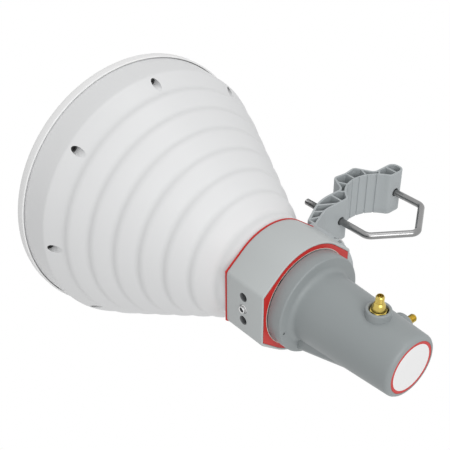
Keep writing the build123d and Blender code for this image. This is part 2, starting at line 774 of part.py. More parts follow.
def make_connector():
    """Threaded coaxial connector: hexagon base, coned neck and plain thread."""
    base = well_floor + o_ring_t
    neck = base + hex_h
    top = neck + cone_h
    body = radial(extrude(RegularPolygon(hex_af / 2, 6, major_radius=False), hex_h), base)
    body = body + radial(Pos(0, 0, cone_h / 2) * Cone(hex_af / 2, thread_r, cone_h), neck)
    body = body + radial(extrude(Circle(thread_r), connector_tip - top), top)
    bore = radial(extrude(Circle(insulator_r + insulator_gap), connector_tip), base - over)
    return body - bore - radial(extrude(Circle(tip_bore_r), tip_bore_depth + over),
                                connector_tip - tip_bore_depth)


def make_insulator():
    """Insulating sleeve that carries the probe through the wall."""
    sleeve = radial(extrude(Circle(insulator_r), connector_tip - tip_bore_depth - guide_r), guide_r)
    return sleeve - radial(extrude(Circle(probe_r), connector_tip), guide_r - over)


def make_probe():
    """Straight pin from the connector's middle into the waveguide."""
    return radial(extrude(Circle(probe_r), connector_tip - probe_short - probe_in), probe_in)


def make_connector_seal():
    """Seal under the connector's hexagon."""
    plan = Circle(o_ring_out_r) - Circle(o_ring_in_r)
    return radial(extrude(plan, o_ring_t), well_floor)


def make_end_label():
    """Round label on the adaptor's end."""
    start = body_end - label_recess
    return along_axis(label_r - label_ring_w, start, start + label_t)


def make_end_label_ring():
    """Coloured ring round the label."""
    start = body_end - label_recess
    ring = along_axis(label_r, start, start + label_t)
    return ring - along_axis(label_r - label_ring_w, start - over, body_end + over)


top_connector, side_connector = both_ports(make_connector())
top_insulator, side_insulator = both_ports(make_insulator())
top_probe, side_probe = both_ports(make_probe())

nodes = {
    "pole_bracket": make_pole_bracket(),
    "friction_disc": make_friction_disc(),
    "pivot_bolt": make_pivot_bolt(),
    "lock_bolts": make_lock_bolts(),
    "hub_washers": make_hub_washers(),
    "u_bolt": make_u_bolt(),
    "u_bolt_nuts": make_u_bolt_nuts(),
    "u_bolt_washers": make_u_bolt_washers(),
    "pivot_ring": make_pivot_ring(),
    "ring_inserts": make_ring_inserts(),
    "ring_rear_trim": make_ring_rear_trim(),
    "ring_front_plate": make_ring_front_plate(),
    "horn_flare": make_horn_flare(),
    "flange_screws": make_flange_screws(),
    "radome_seal": make_radome_seal(),
    "radome": make_radome(),
    "port_socket": make_port_socket(),
    "socket_screws": make_socket_screws(),
    "port_seal": make_port_seal(),
    "adaptor_housing": make_adaptor_housing(),
    "waveguide_liner": make_waveguide_liner(),
    "top_connector": top_connector,
    "side_connector": side_connector,
    "top_insulator": top_insulator,
    "side_insulator": side_insulator,
    "top_probe": top_probe,
    "side_probe": side_probe,
    "connector_seals": group(both_ports(make_connector_seal())),
    "end_label": make_end_label(),
    "end_label_ring": make_end_label_ring(),
}

for name, shape in nodes.items():
    export_step(shape, f"parts/{name}.step")
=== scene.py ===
from math import atan2, cos, hypot, pi, radians, sin, tan

import bpy
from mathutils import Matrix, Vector


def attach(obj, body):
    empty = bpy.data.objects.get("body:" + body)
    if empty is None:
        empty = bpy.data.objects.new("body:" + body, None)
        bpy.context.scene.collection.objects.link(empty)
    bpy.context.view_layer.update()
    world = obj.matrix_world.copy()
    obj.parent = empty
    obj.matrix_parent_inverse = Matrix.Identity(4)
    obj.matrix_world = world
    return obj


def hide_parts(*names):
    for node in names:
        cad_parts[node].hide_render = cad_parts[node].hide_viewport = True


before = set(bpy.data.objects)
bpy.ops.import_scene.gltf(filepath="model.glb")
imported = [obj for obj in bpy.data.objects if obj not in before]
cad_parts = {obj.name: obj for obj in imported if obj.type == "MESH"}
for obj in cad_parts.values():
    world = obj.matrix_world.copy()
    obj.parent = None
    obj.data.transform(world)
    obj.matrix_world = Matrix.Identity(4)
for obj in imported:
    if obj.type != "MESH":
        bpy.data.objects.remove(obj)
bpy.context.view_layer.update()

# Pivot ring
# A light grey moulded housing: a round body drawn out to two flat sides, which carry the bracket's
# bolts. The horn's spigot goes into its stepped bore from the front, the twist lock from behind.
MM = 0.001
PIVOT = Vector((0.1306, 0.0206, 0.0))
RING_R = 47.0
RING_FLAT_X = 46.0
RING_FLAT_Z = 23.4
RING_START = -19.2
RING_END = 21.0
RING_EDGE = 0.6
RING_CORNER = 2.0
RING_LIP = 1.7
PLATE_START = 19.5
SPIGOT_BORE_R = 40.7
SPIGOT_BORE_END = -4.0
SOCKET_BORE_R = 36.0
SOCKET_SEAT_R = 43.2
SOCKET_SEAT_START = 17.5
SIDE_HOLE_R = 3.3
SIDE_HOLE_DEPTH = 16.0
SIDE_HOLE_MOUTH = 0.5
BOLT_CIRCLE = 11.15


class Signal:
    """A value that changes over a surface, with the arithmetic that Math nodes do."""

    def __init__(self, finish, socket):
        self.finish = finish
        self.socket = socket

    def math(self, operation, *values):
        return self.finish.node("ShaderNodeMath", {"operation": operation}, dict(enumerate(values)))

    def __add__(self, other):
        return self.math("ADD", self, other)

    def __radd__(self, other):
        return self.math("ADD", other, self)

    def __sub__(self, other):
        return self.math("SUBTRACT", self, other)

    def __rsub__(self, other):
        return self.math("SUBTRACT", other, self)

    def __mul__(self, other):
        return self.math("MULTIPLY", self, other)

    def __rmul__(self, other):
        return self.math("MULTIPLY", other, self)


class Finish:
    """A material: one Principled shader, its fixed numbers, and the nodes that vary it."""

    def __init__(self, name, **fixed):
        self.material = bpy.data.materials.new(name)
        self.material.use_nodes = True
        self.tree = self.material.node_tree
        self.shader = self.tree.nodes["Principled BSDF"]
        for socket, value in fixed.items():
            self.shader.inputs[socket.replace("_", " ")].default_value = value

    def node(self, kind, settings, values, output=0):
        made = self.tree.nodes.new(kind)
        for name, value in settings.items():
            setattr(made, name, value)
        for key, value in values.items():
            if isinstance(value, Signal):
                self.tree.links.new(value.socket, made.inputs[key])
            else:
                made.inputs[key].default_value = value
        return Signal(self, made.outputs[output])

    def place(self):
        return self.node("ShaderNodeTexCoord", {}, {}, "Object")

    def noise(self, scale, detail=3.0, stretch=(1.0, 1.0, 1.0)):
        spot = self.node("ShaderNodeMapping", {}, {"Vector": self.place(), "Scale": stretch})
        return self.node("ShaderNodeTexNoise", {}, {"Vector": spot, "Scale": scale, "Detail": detail})

    def blend(self, share, first, second):
        return self.node("ShaderNodeMix", {"data_type": "RGBA"},
                         {"Factor": share, "A": (*first, 1.0), "B": (*second, 1.0)}, "Result")

    def feed(self, **inputs):
        for socket, value in inputs.items():
            self.tree.links.new(value.socket, self.shader.inputs[socket.replace("_", " ")])

    def relief(self, height, depth):
        self.feed(Normal=self.node("ShaderNodeBump", {}, {"Height": height, "Distance": depth}))


def moulded(name, colour, shade, roughness, grain=900.0, depth=0.00002):
    """Moulded plastic: slow shifts of tone, a fine spark-eroded grain, and gloss that varies with it."""
    finish = Finish(name, Specular_IOR_Level=0.4)
    slow = finish.noise(14.0, 2.0)
    fine = finish.noise(grain, 4.0)
    finish.feed(Base_Color=finish.blend(slow, colour, shade), Roughness=roughness + 0.12 * fine + 0.06 * slow)
    finish.relief(fine, depth)
    return finish.material


def alone(piece=None):
    """Selects one piece and nothing else, or nothing at all."""
    bpy.ops.object.select_all(action="DESELECT")
    if piece:
        piece.select_set(True)
        bpy.context.view_layer.objects.active = piece


def trace(name, places):
    """An outline drawn as one point, extruded from place to place."""
    alone()
    bpy.ops.mesh.primitive_plane_add(size=MM)
    piece = bpy.context.object
    piece.name = name
    bpy.ops.object.mode_set(mode="EDIT")
    bpy.ops.mesh.merge(type="CENTER")
    bpy.ops.transform.translate(value=places[0])
    for here, there in zip(places, places[1:]):
        bpy.ops.mesh.extrude_region_move(TRANSFORM_OT_translate={"value": there - here})
    bpy.ops.object.mode_set(mode="OBJECT")
    return piece


def pick(piece, chosen):
    """In edit mode, selects the vertices that chosen says yes to."""
    bpy.ops.object.mode_set(mode="EDIT")
    bpy.ops.mesh.select_mode(type="VERT")
    bpy.ops.mesh.select_all(action="DESELECT")
    bpy.ops.object.mode_set(mode="OBJECT")
    for vertex in piece.data.vertices:
        vertex.select = chosen(vertex.co)
    bpy.ops.object.mode_set(mode="EDIT")


def lathe(name, outline, start=PIVOT, along=(0, 1, 0), out=(1, 0, 0), steps=160, smooth=30):
    """Turned piece. The outline's points are radius, distance and rounding, in millimetres."""
    along, out = Vector(along), Vector(out)
    spots = [start + MM * (radius * out + distance * along) for radius, distance, *_ in outline]
    piece = trace(name, spots)
    if outline[0][0] or outline[-1][0]:
        pick(piece, lambda co: min((co - spots[0]).length, (co - spots[-1]).length) < 0.01 * MM)
        bpy.ops.mesh.edge_face_add()
        bpy.ops.object.mode_set(mode="OBJECT")
    for spot, point in zip(spots, outline):
        if len(point) > 2:
            pick(piece, lambda co: (co - spot).length < 0.01 * MM)
            bpy.ops.mesh.bevel(offset=point[2] * MM, segments=4, affect="VERTICES")
            bpy.ops.object.mode_set(mode="OBJECT")
    bpy.ops.object.mode_set(mode="EDIT")
    bpy.ops.mesh.select_all(action="SELECT")
    bpy.ops.mesh.spin(steps=steps, angle=2 * pi, center=start, axis=along)
    bpy.ops.mesh.select_all(action="SELECT")
    bpy.ops.mesh.remove_doubles(threshold=0.002 * MM)
    bpy.ops.mesh.normals_make_consistent(inside=False)
    bpy.ops.object.mode_set(mode="OBJECT")
    alone(piece)
    bpy.ops.object.shade_smooth_by_angle(angle=radians(smooth))
    return piece


def settle(piece):
    """Puts the place, turn and size of a piece into its mesh."""
    alone(piece)
    bpy.ops.object.transform_apply(location=True, rotation=True, scale=True)


def merge(name, pieces):
    """Joins separate pieces into one object, without fusing them."""
    alone()
    for piece in pieces:
        piece.select_set(True)
    bpy.context.view_layer.objects.active = pieces[0]
    bpy.ops.object.join()
    pieces[0].name = name
    return pieces[0]


def fuse(piece, tool, operation="DIFFERENCE"):
    """Cuts a tool out of a piece, or joins or intersects them, and clears the tool away."""
    alone(piece)
    change = piece.modifiers.new("fuse", "BOOLEAN")
    change.operation = operation
    change.solver = "EXACT"
    change.object = tool
    bpy.ops.object.modifier_apply(modifier=change.name)
    alone(tool)
    bpy.ops.object.delete()


def soften(piece, width, segments=2, angle=35, smooth=30):
    """Rounds the sharp edges of a piece, as a mould or a tumbler does."""
    alone(piece)
    edge = piece.modifiers.new("edges", "BEVEL")
    edge.width = width * MM
    edge.segments = segments
    edge.limit_method = "ANGLE"
    edge.angle_limit = radians(angle)
    edge.use_clamp_overlap = False
    edge.harden_normals = False
    bpy.ops.object.modifier_apply(modifier=edge.name)
    bpy.ops.object.shade_smooth_by_angle(angle=radians(smooth))


def rod(name, radius, start, end, x=0.0, z=0.0, vertices=48):
    """Plain cylinder along the horn's axis, from start to end behind the pivot, in millimetres."""
    alone()
    middle = PIVOT + MM * Vector((x, (start + end) / 2, z))
    bpy.ops.mesh.primitive_cylinder_add(vertices=vertices, radius=radius * MM, depth=(end - start) * MM,
                                        location=middle, rotation=(pi / 2, 0, 0))
    piece = bpy.context.object
    piece.name = name
    settle(piece)
    return piece


def flat_sided(name, grow, start, end):
    """Slab with the ring's outline: a round bar trimmed to the flats, hulled with a box."""
    piece = rod(name, RING_R + grow, start, end, vertices=192)
    bpy.ops.object.mode_set(mode="EDIT")
    for side in (-1, 1):
        bpy.ops.mesh.select_all(action="SELECT")
        cut = PIVOT + Vector((side * (RING_FLAT_X + grow) * MM, 0, 0))
        bpy.ops.mesh.bisect(plane_co=cut, plane_no=(side, 0, 0), use_fill=True, clear_outer=True)
    bpy.ops.object.mode_set(mode="OBJECT")
    alone()
    bpy.ops.mesh.primitive_cube_add(size=1.0, location=PIVOT + MM * Vector((0, (start + end) / 2, 0)),
                                    scale=MM * Vector((2 * (RING_FLAT_X + grow), end - start,
                                                       2 * (RING_FLAT_Z + grow))))
    box = bpy.context.object
    settle(box)
    merge(name, [piece, box])
    bpy.ops.object.mode_set(mode="EDIT")
    bpy.ops.mesh.select_all(action="SELECT")
    bpy.ops.mesh.convex_hull()
    bpy.ops.mesh.dissolve_limited(angle_limit=radians(0.4))
    bpy.ops.object.mode_set(mode="OBJECT")
    return piece


def dress(material, *names):
    """Gives CAD nodes that keep their own shape their real finish."""
    for name in names:
        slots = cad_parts[name].data.materials
        slots.clear()
        slots.append(material)


ring_grey = moulded("ring_grey", (0.525, 0.55, 0.55), (0.495, 0.52, 0.52), 0.38)
ring = flat_sided("pivot_ring_body", 0.0, RING_START, RING_END)
pick(ring, lambda co: abs(abs(co.x - PIVOT.x) - RING_FLAT_X * MM) < 0.1 * MM
     and abs(abs(co.z) - RING_FLAT_Z * MM) < 0.1 * MM)
bpy.ops.mesh.bevel(offset=RING_CORNER * MM, segments=6, affect="EDGES")
bpy.ops.object.mode_set(mode="OBJECT")
fuse(ring, flat_sided("plate_recess", -RING_LIP, PLATE_START, RING_END + 1.0))
fuse(ring, lathe("ring_bore", [
    (0, RING_START - 1), (SPIGOT_BORE_R, RING_START - 1), (SPIGOT_BORE_R, SPIGOT_BORE_END),
    (SOCKET_BORE_R, SPIGOT_BORE_END), (SOCKET_BORE_R, SOCKET_SEAT_START),
    (SOCKET_SEAT_R, SOCKET_SEAT_START), (SOCKET_SEAT_R, RING_END + 1), (0, RING_END + 1)]))
soften(ring, RING_EDGE, segments=3)
for side in (-1, 1):
    for row in (-1, 0, 1):
        fuse(ring, lathe("side_hole", [
            (0, -1), (SIDE_HOLE_R + SIDE_HOLE_MOUTH + 1, -1), (SIDE_HOLE_R, SIDE_HOLE_MOUTH),
            (SIDE_HOLE_R, SIDE_HOLE_DEPTH), (0, SIDE_HOLE_DEPTH)],
            start=PIVOT + MM * Vector((side * RING_FLAT_X, 0, row * BOLT_CIRCLE)), along=(-side, 0, 0),
            out=(0, 0, 1), steps=48))
alone(ring)
bpy.ops.object.shade_smooth_by_angle(angle=radians(30))
# This dark grey is painted shade: it stands for the shade deep inside the side holes and bores.
hole_painted_shade = moulded("hole_painted_shade", (0.15, 0.155, 0.16), (0.12, 0.125, 0.13), 0.45)
ring.data.materials.append(ring_grey)
ring.data.materials.append(hole_painted_shade)
# Faces on the walls of the side holes get the painted shade.
for face in ring.data.polygons:
    spot = face.center - PIVOT
    row = round(spot.z / MM / BOLT_CIRCLE)
    off_axis = hypot(spot.y, spot.z - row * BOLT_CIRCLE * MM)
    if abs(row) < 2 and off_axis < (SIDE_HOLE_R + SIDE_HOLE_MOUTH) * MM and abs(face.normal.x) < 0.8:
        face.material_index = 1
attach(ring, "antenna")
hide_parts("pivot_ring")

# Threaded inserts and red trim plate
# Stainless sleeves are pressed into the ring's middle holes. A thin red plate is laid on the ring's
# front before the horn goes in, and shows as a line between them.
INSERT_BORE_R = 2.55
INSERT_THREAD_R = 2.07
INSERT_SHOULDER_R = 2.8
INSERT_PROUD = 2.2
INSERT_END = 13.0


def plated(name, colour, shade, roughness, grain=60.0):
    """Bare or plated metal: faint cloudy tone and a polish that comes and goes."""
    finish = Finish(name, Metallic=1.0)
    slow = finish.noise(grain, 3.0)
    fine = finish.noise(1500.0, 2.0)
    finish.feed(Base_Color=finish.blend(slow, colour, shade), Roughness=roughness + 0.14 * slow + 0.06 * fine)
    finish.relief(fine, 0.000004)
    return finish.material


stainless = plated("stainless", (0.52, 0.52, 0.52), (0.42, 0.42, 0.42), 0.22)
bright_steel = plated("bright_steel", (0.86, 0.86, 0.86), (0.76, 0.76, 0.76), 0.3)
trim_red = moulded("trim_red", (0.60, 0.022, 0.018), (0.54, 0.018, 0.014), 0.34, depth=0.00001)
inserts = merge("ring_insert_pair", [lathe("insert", [
    (bore + 0.3, -proud), (INSERT_SHOULDER_R, -proud, 0.3), (INSERT_SHOULDER_R, 0),
    (SIDE_HOLE_R - 0.05, 0.3), (SIDE_HOLE_R - 0.05, INSERT_END), (bore, INSERT_END), (bore, 0.3 - proud)],
    start=PIVOT + MM * Vector((side * RING_FLAT_X, 0, 0)), along=(-side, 0, 0), out=(0, 0, 1), steps=64)
    for side, bore, proud in ((-1, INSERT_BORE_R, 0.0), (1, INSERT_THREAD_R, INSERT_PROUD))])
inserts.data.materials.append(bright_steel)
inserts.data.materials.append(hole_painted_shade)
# Faces on the wall of the insert's plain bore get the painted shade.
for face in inserts.data.polygons:
    off_axis = hypot(face.center.y - PIVOT.y, face.center.z)
    if off_axis < (INSERT_BORE_R + 0.05) * MM and abs(face.normal.x) < 0.5:
        face.material_index = 1
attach(inserts, "antenna")
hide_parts("ring_inserts")
dress(trim_red, "ring_rear_trim")

# Horn flare
# One white moulding: a spigot for the ring, seven shallow waves that each end in a short ledge, and
# a nearly straight band at the mouth with eight deep pockets for the radome's screws.
NECK_R = 45.0
NECK_START = -20.4
FIRST_LEDGE = 33.8
FIRST_LEDGE_R = 46.6
FLARE_SLOPE = 0.52
WAVE_COUNT = 7
WAVE_PITCH = 19.77
WAVE_LEDGE = 5.6
WAVE_BULGE = 0.3
WAVE_EDGE = 2.4
BAND_R = 117.9
BAND_START = -168.62
MOUTH_R = 120.0
MOUTH_Y = -199.92
MOUTH_BORE_R = 106.0
HORN_WALL = 3.4
SPIGOT_R = 40.5
SPIGOT_END = -13.0
GUIDE_R = 20.5
THROAT_END = 14.0
POCKET_R = 3.5
POCKET_CIRCLE = 113.0
POCKET_FLOOR = -170.5
SCREW_HOLE_R = 1.85

horn_white = moulded("horn_white", (0.77, 0.775, 0.78), (0.745, 0.75, 0.755), 0.34, depth=0.00001)
skin = [(NECK_R, NECK_START)]
for wave in range(WAVE_COUNT):
    ledge_r = FIRST_LEDGE_R + FLARE_SLOPE * wave * WAVE_PITCH
    ledge_y = -FIRST_LEDGE - wave * WAVE_PITCH
    from_r, from_y = skin[-1][:2]
    for share in (0.2, 0.4, 0.6, 0.8):
        bulge = WAVE_BULGE * 4 * share * (1 - share) if wave else 0.0
        skin.append((from_r + share * (ledge_r - from_r) + bulge,
                     from_y + share * (ledge_y + WAVE_LEDGE - from_y)))
    skin += [(ledge_r, ledge_y + WAVE_LEDGE, WAVE_EDGE), (ledge_r, ledge_y, WAVE_EDGE)]
for share in (0.3, 0.6):
    skin.append((ledge_r + share * (BAND_R - ledge_r), ledge_y + share * (BAND_START - ledge_y)))
skin.append((BAND_R, BAND_START, 1.2))
skin += [(BAND_R + share * (MOUTH_R - BAND_R), BAND_START + share * (MOUTH_Y - BAND_START))
         for share in (0.25, 0.5, 0.75)]


def bore_at(distance):
    """Radius of the horn's smooth inside at a distance from the pivot."""
    return FIRST_LEDGE_R - HORN_WALL - FLARE_SLOPE * (FIRST_LEDGE + distance)


cone_end = (FIRST_LEDGE_R - HORN_WALL - GUIDE_R) / FLARE_SLOPE - FIRST_LEDGE
cone_start = (FIRST_LEDGE_R - HORN_WALL - MOUTH_BORE_R) / FLARE_SLOPE - FIRST_LEDGE
horn = lathe("horn_flare_moulding", skin + [
    (MOUTH_R, MOUTH_Y, 0.4), (MOUTH_BORE_R, MOUTH_Y), (MOUTH_BORE_R, cone_start), (GUIDE_R, cone_end),
    (GUIDE_R, THROAT_END), (GUIDE_R + HORN_WALL, THROAT_END), (GUIDE_R + HORN_WALL, cone_end),
    (bore_at(SPIGOT_END) + HORN_WALL, SPIGOT_END), (SPIGOT_R, SPIGOT_END), (SPIGOT_R, NECK_START)],
    steps=240)
screw_spots = [MM * POCKET_CIRCLE * Vector((cos(k * pi / 4), 0, sin(k * pi / 4))) for k in range(8)]
fuse(horn, merge("pockets", [lathe("pocket", [
    (0, -FIRST_LEDGE), (POCKET_R, -FIRST_LEDGE), (POCKET_R, POCKET_FLOOR), (SCREW_HOLE_R, POCKET_FLOOR),
    (SCREW_HOLE_R, MOUTH_Y - 1), (0, MOUTH_Y - 1)], start=PIVOT + spot, steps=48) for spot in screw_spots]))
alone(horn)
bpy.ops.object.shade_smooth_by_angle(angle=radians(40))
horn.data.materials.append(horn_white)
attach(horn, "antenna")
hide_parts("horn_flare")

# Radome, its gasket and screws
# A white domed cover closes the mouth. Its skirt reaches back over the flange and leaves a dark line
# there. Blackened screws at the bottom of the horn's pockets pull it onto a rubber gasket.
SKIRT_BORE_R = 120.4
COVER_R = 121.9
COVER_BACK = -201.17
SKIRT_END = -195.22
COVER_RIM = -205.17
COVER_EDGE = 3.2
DOME_RISE = 7.0
COVER_WALL = 3.2
SCREW_R = 1.75
SCREW_HEAD_R = 3.0
SCREW_HEAD_H = 3.5
SCREW_END = -203.5
SCREW_SOCKET_FLATS = 2.5

radome_white = moulded("radome_white", (0.90, 0.90, 0.90), (0.87, 0.87, 0.87), 0.32, depth=0.00001)
seal_black = moulded("seal_black", (0.015, 0.015, 0.015), (0.03, 0.03, 0.03), 0.55)
blackened = moulded("blackened_steel", (0.02, 0.02, 0.02), (0.035, 0.035, 0.035), 0.4)


def dome(reach, rim, rise, points):
    """Points of a shallow dome, from its rim to its top on the axis."""
    sphere = (reach ** 2 + rise ** 2) / (2 * rise)
    spots = [reach * (1 - k / points) for k in range(points + 1)]
    return [(spot, rim - rise + sphere - (sphere ** 2 - spot ** 2) ** 0.5) for spot in spots]


cover = lathe("radome_moulding", dome(COVER_R - COVER_EDGE - 0.1, COVER_RIM, DOME_RISE, 12)[::-1] + [
    (COVER_R, COVER_RIM, COVER_EDGE), (COVER_R, SKIRT_END, 0.4), (SKIRT_BORE_R, SKIRT_END, 0.4),
    (SKIRT_BORE_R, COVER_BACK)] + dome(MOUTH_BORE_R, COVER_BACK, COVER_BACK - COVER_RIM + DOME_RISE
                                        - COVER_WALL, 6), steps=240)
fuse(cover, merge("screw_holes", [lathe("screw_hole", [
    (0, SKIRT_END), (SCREW_HOLE_R, SKIRT_END), (SCREW_HOLE_R, SCREW_END - 0.2), (0, SCREW_END - 0.2)],
    start=PIVOT + spot, steps=32) for spot in screw_spots]))
cover.data.materials.append(radome_white)
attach(cover, "antenna")
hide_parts("radome")
dress(seal_black, "radome_seal")
screws = []
for spot in screw_spots:
    screw = lathe("screw", [
        (0, SCREW_END), (SCREW_R, SCREW_END), (SCREW_R, POCKET_FLOOR), (SCREW_HEAD_R, POCKET_FLOOR, 0.2),
        (SCREW_HEAD_R, POCKET_FLOOR + SCREW_HEAD_H, 0.4), (0, POCKET_FLOOR + SCREW_HEAD_H)],
        start=PIVOT + spot, steps=48)
    fuse(screw, rod("screw_socket", SCREW_SOCKET_FLATS / 2 / cos(pi / 6), POCKET_FLOOR + SCREW_HEAD_H / 2,
                    POCKET_FLOOR + SCREW_HEAD_H + 1, x=spot.x / MM, z=spot.z / MM, vertices=6))
    screws.append(screw)
screws = merge("flange_screw_set", screws)
screws.data.materials.append(blackened)
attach(screws, "antenna")
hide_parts("flange_screws")

# Twist port
# The socket, a flanged tube with three lugs, is screwed into the ring from behind. A red plate let
# into the ring hides the screws, with a pale painted highlight round its inner edge, and a flat seal lies on the
# tube's end.
PLATE_HIGHLIGHT_R = 41.6

dress(ring_grey, "port_socket")
dress(stainless, "socket_screws")
dress(seal_black, "port_seal")
painted_highlight_plate = Finish("trim_red_painted_highlight", Specular_IOR_Level=0.4)
across = painted_highlight_plate.node("ShaderNodeVectorMath", {"operation": "SUBTRACT"},
                       {0: painted_highlight_plate.place(), 1: (PIVOT.x, 0.0, 0.0)})
flat_across = painted_highlight_plate.node("ShaderNodeVectorMath", {"operation": "MULTIPLY"}, {0: across, 1: (1.0, 0.0, 1.0)})
off_axis = painted_highlight_plate.node("ShaderNodeVectorMath", {"operation": "LENGTH"}, {0: flat_across}, "Value")
# Near the axis the red turns pale: a painted highlight, standing for light caught at the collar's foot.
painted_highlight_ring = off_axis.math("LESS_THAN", off_axis, PLATE_HIGHLIGHT_R * MM)
painted_highlight_plate.feed(Base_Color=painted_highlight_plate.blend(painted_highlight_ring, (0.58, 0.022, 0.018), (0.80, 0.72, 0.66)),
              Roughness=0.34 + 0.1 * painted_highlight_plate.noise(900.0))
dress(painted_highlight_plate.material, "ring_front_plate")

# Coaxial adaptor housing
# A grey moulding: the collar that turns on the port, a tapered body with a wedge under it, and two
# round bosses with wells for the connectors, on top and on the side towards the pole.
HOUSING_BORE_R = 22.1
HOUSING_SPIGOT_R = 23.8
HOUSING_START = 14.4
COLLAR_R = 40.8
COLLAR_BORE_R = 37.9
COLLAR_START = 21.3
COLLAR_FLOOR = 32.4
COLLAR_END = 34.4
COLLAR_EDGE = 1.4
BODY_ROOT_R = 29.5
BODY_ROOT_FILLET = 4.0
BODY_TAIL_R = 25.0
BODY_END = 123.6
BODY_EDGE = 3.4
LABEL_SEAT_R = 21.3
LABEL_SEAT = 123.0
HOUSING_FLOOR = 120.0
KEEL_HALF_W = 21.0
KEEL_ROOT_R = 38.4
KEEL_TAIL_R = 26.9
KEEL_TAIL = 83.0
KEEL_ROUNDING = ((14.0, 0.5), (28.0, 0.7), (42.0, 0.5))
PORT_Y = 90.0
BOSS_R = 9.5
BOSS_TOP = 32.0
BOSS_EDGE = 0.9
WELL_R = 7.2
WELL_FLOOR = 24.5
WITNESS_R = 1.1
WITNESS_CIRCLE = 37.0
WITNESS_TURN = radians(-12.0)

adaptor_grey = moulded("adaptor_grey", (0.30, 0.325, 0.33), (0.28, 0.305, 0.31), 0.36)
cone_rings = [(BODY_ROOT_R + share * (BODY_TAIL_R - BODY_ROOT_R), COLLAR_END + share * (BODY_END - COLLAR_END))
              for share in (k / 12 for k in range(1, 12))]
housing = lathe("adaptor_moulding", [
    (0, HOUSING_FLOOR), (HOUSING_BORE_R, HOUSING_FLOOR), (HOUSING_BORE_R, HOUSING_START),
    (HOUSING_SPIGOT_R, HOUSING_START), (HOUSING_SPIGOT_R, COLLAR_FLOOR), (COLLAR_BORE_R, COLLAR_FLOOR),
    (COLLAR_BORE_R, COLLAR_START), (COLLAR_R, COLLAR_START, 0.4), (COLLAR_R, COLLAR_END, COLLAR_EDGE),
    (BODY_ROOT_R, COLLAR_END, BODY_ROOT_FILLET), *cone_rings, (BODY_TAIL_R, BODY_END, BODY_EDGE),
    (LABEL_SEAT_R, BODY_END), (LABEL_SEAT_R, LABEL_SEAT), (0, LABEL_SEAT)], steps=192)
keel = lathe("keel", [(0, COLLAR_END - 1), (KEEL_ROOT_R, COLLAR_END - 1), (KEEL_TAIL_R, KEEL_TAIL),
                      (0, KEEL_TAIL)], steps=192)
bpy.ops.object.mode_set(mode="EDIT")
for side in (-1, 1):
    bpy.ops.mesh.select_all(action="SELECT")
    cut = PIVOT + MM * Vector((side * KEEL_HALF_W, 0, 0))
    bpy.ops.mesh.bisect(plane_co=cut, plane_no=(side, 0, 0), use_fill=True, clear_outer=True)
bpy.ops.mesh.select_all(action="SELECT")
bpy.ops.mesh.bisect(plane_co=PIVOT - MM * Vector((0, 0, HOUSING_SPIGOT_R / 2)), plane_no=(0, 0, 1),
                    use_fill=True, clear_outer=True)
root_z, tail_z = ((radius ** 2 - KEEL_HALF_W ** 2) ** 0.5 for radius in (KEEL_ROOT_R, KEEL_TAIL_R))
rise = (root_z - tail_z) / (KEEL_TAIL - COLLAR_END + 1)
for side in (-1, 1):
    for lean, inset in KEEL_ROUNDING:
        facing = Vector((side * cos(radians(lean)), sin(radians(lean)) * rise, -sin(radians(lean))))
        corner = PIVOT + MM * Vector((side * KEEL_HALF_W, COLLAR_END - 1, -root_z))
        bpy.ops.mesh.select_all(action="SELECT")
        bpy.ops.mesh.bisect(plane_co=corner - inset * MM * facing, plane_no=facing, use_fill=True,
                            clear_outer=True)
bpy.ops.object.mode_set(mode="OBJECT")
fuse(keel, rod("keel_bore", HOUSING_SPIGOT_R, HOUSING_START, KEEL_TAIL + 1, vertices=96))
fuse(housing, keel, "UNION")
ports = {"top": ((0, 0, 1), (1, 0, 0)), "side": ((-1, 0, 0), (0, 0, 1))}
port_start = PIVOT + MM * Vector((0, PORT_Y, 0))
for along, out in ports.values():
    fuse(housing, lathe("boss", [(0, HOUSING_SPIGOT_R), (BOSS_R, HOUSING_SPIGOT_R), (BOSS_R, BOSS_TOP, BOSS_EDGE),
                                 (0, BOSS_TOP)], start=port_start, along=along, out=out, steps=96), "UNION")
    fuse(housing, lathe("well", [
        (0, GUIDE_R), (2.15, GUIDE_R), (2.15, WELL_FLOOR), (WELL_R, WELL_FLOOR), (WELL_R, BOSS_TOP - 0.4),
        (WELL_R + 1.4, BOSS_TOP + 1), (0, BOSS_TOP + 1)], start=port_start, along=along, out=out, steps=96))
fuse(housing, rod("witness_hole", WITNESS_R, COLLAR_END - 1.8, COLLAR_END + 1,
                  x=WITNESS_CIRCLE * cos(WITNESS_TURN), z=WITNESS_CIRCLE * sin(WITNESS_TURN), vertices=24))
alone(housing)
bpy.ops.object.shade_smooth_by_angle(angle=radians(32))
housing.data.materials.append(adaptor_grey)
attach(housing, "adaptor")
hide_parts("adaptor_housing")

# Waveguide liner
# A cast aluminium tube inside the housing, shorted at its end.
dress(plated("cast_aluminium", (0.70, 0.70, 0.71), (0.60, 0.60, 0.61), 0.38, 200.0), "waveguide_liner")

# Coaxial connectors
# Gold-plated brass: a chamfered hexagon in the boss's well, a long coned neck and a fine thread,
# with a white insulator and a gold pin inside, standing on a rubber ring.
HEX_FLATS = 11.6
FLANGE_START = 25.3
HEX_START = 27.7
HEX_END = 31.3
SHOULDER_R = 4.3
SHOULDER_TOP = 36.2
NECK_TOP = 37.6
THREAD_R = 3.175
THREAD_ROOT_R = 2.75
THREAD_PITCH = 0.7056
THREAD_START = 37.8
TIP = 43.4
TIP_BORE_R = 2.35
TIP_BORE_FLOOR = 39.4


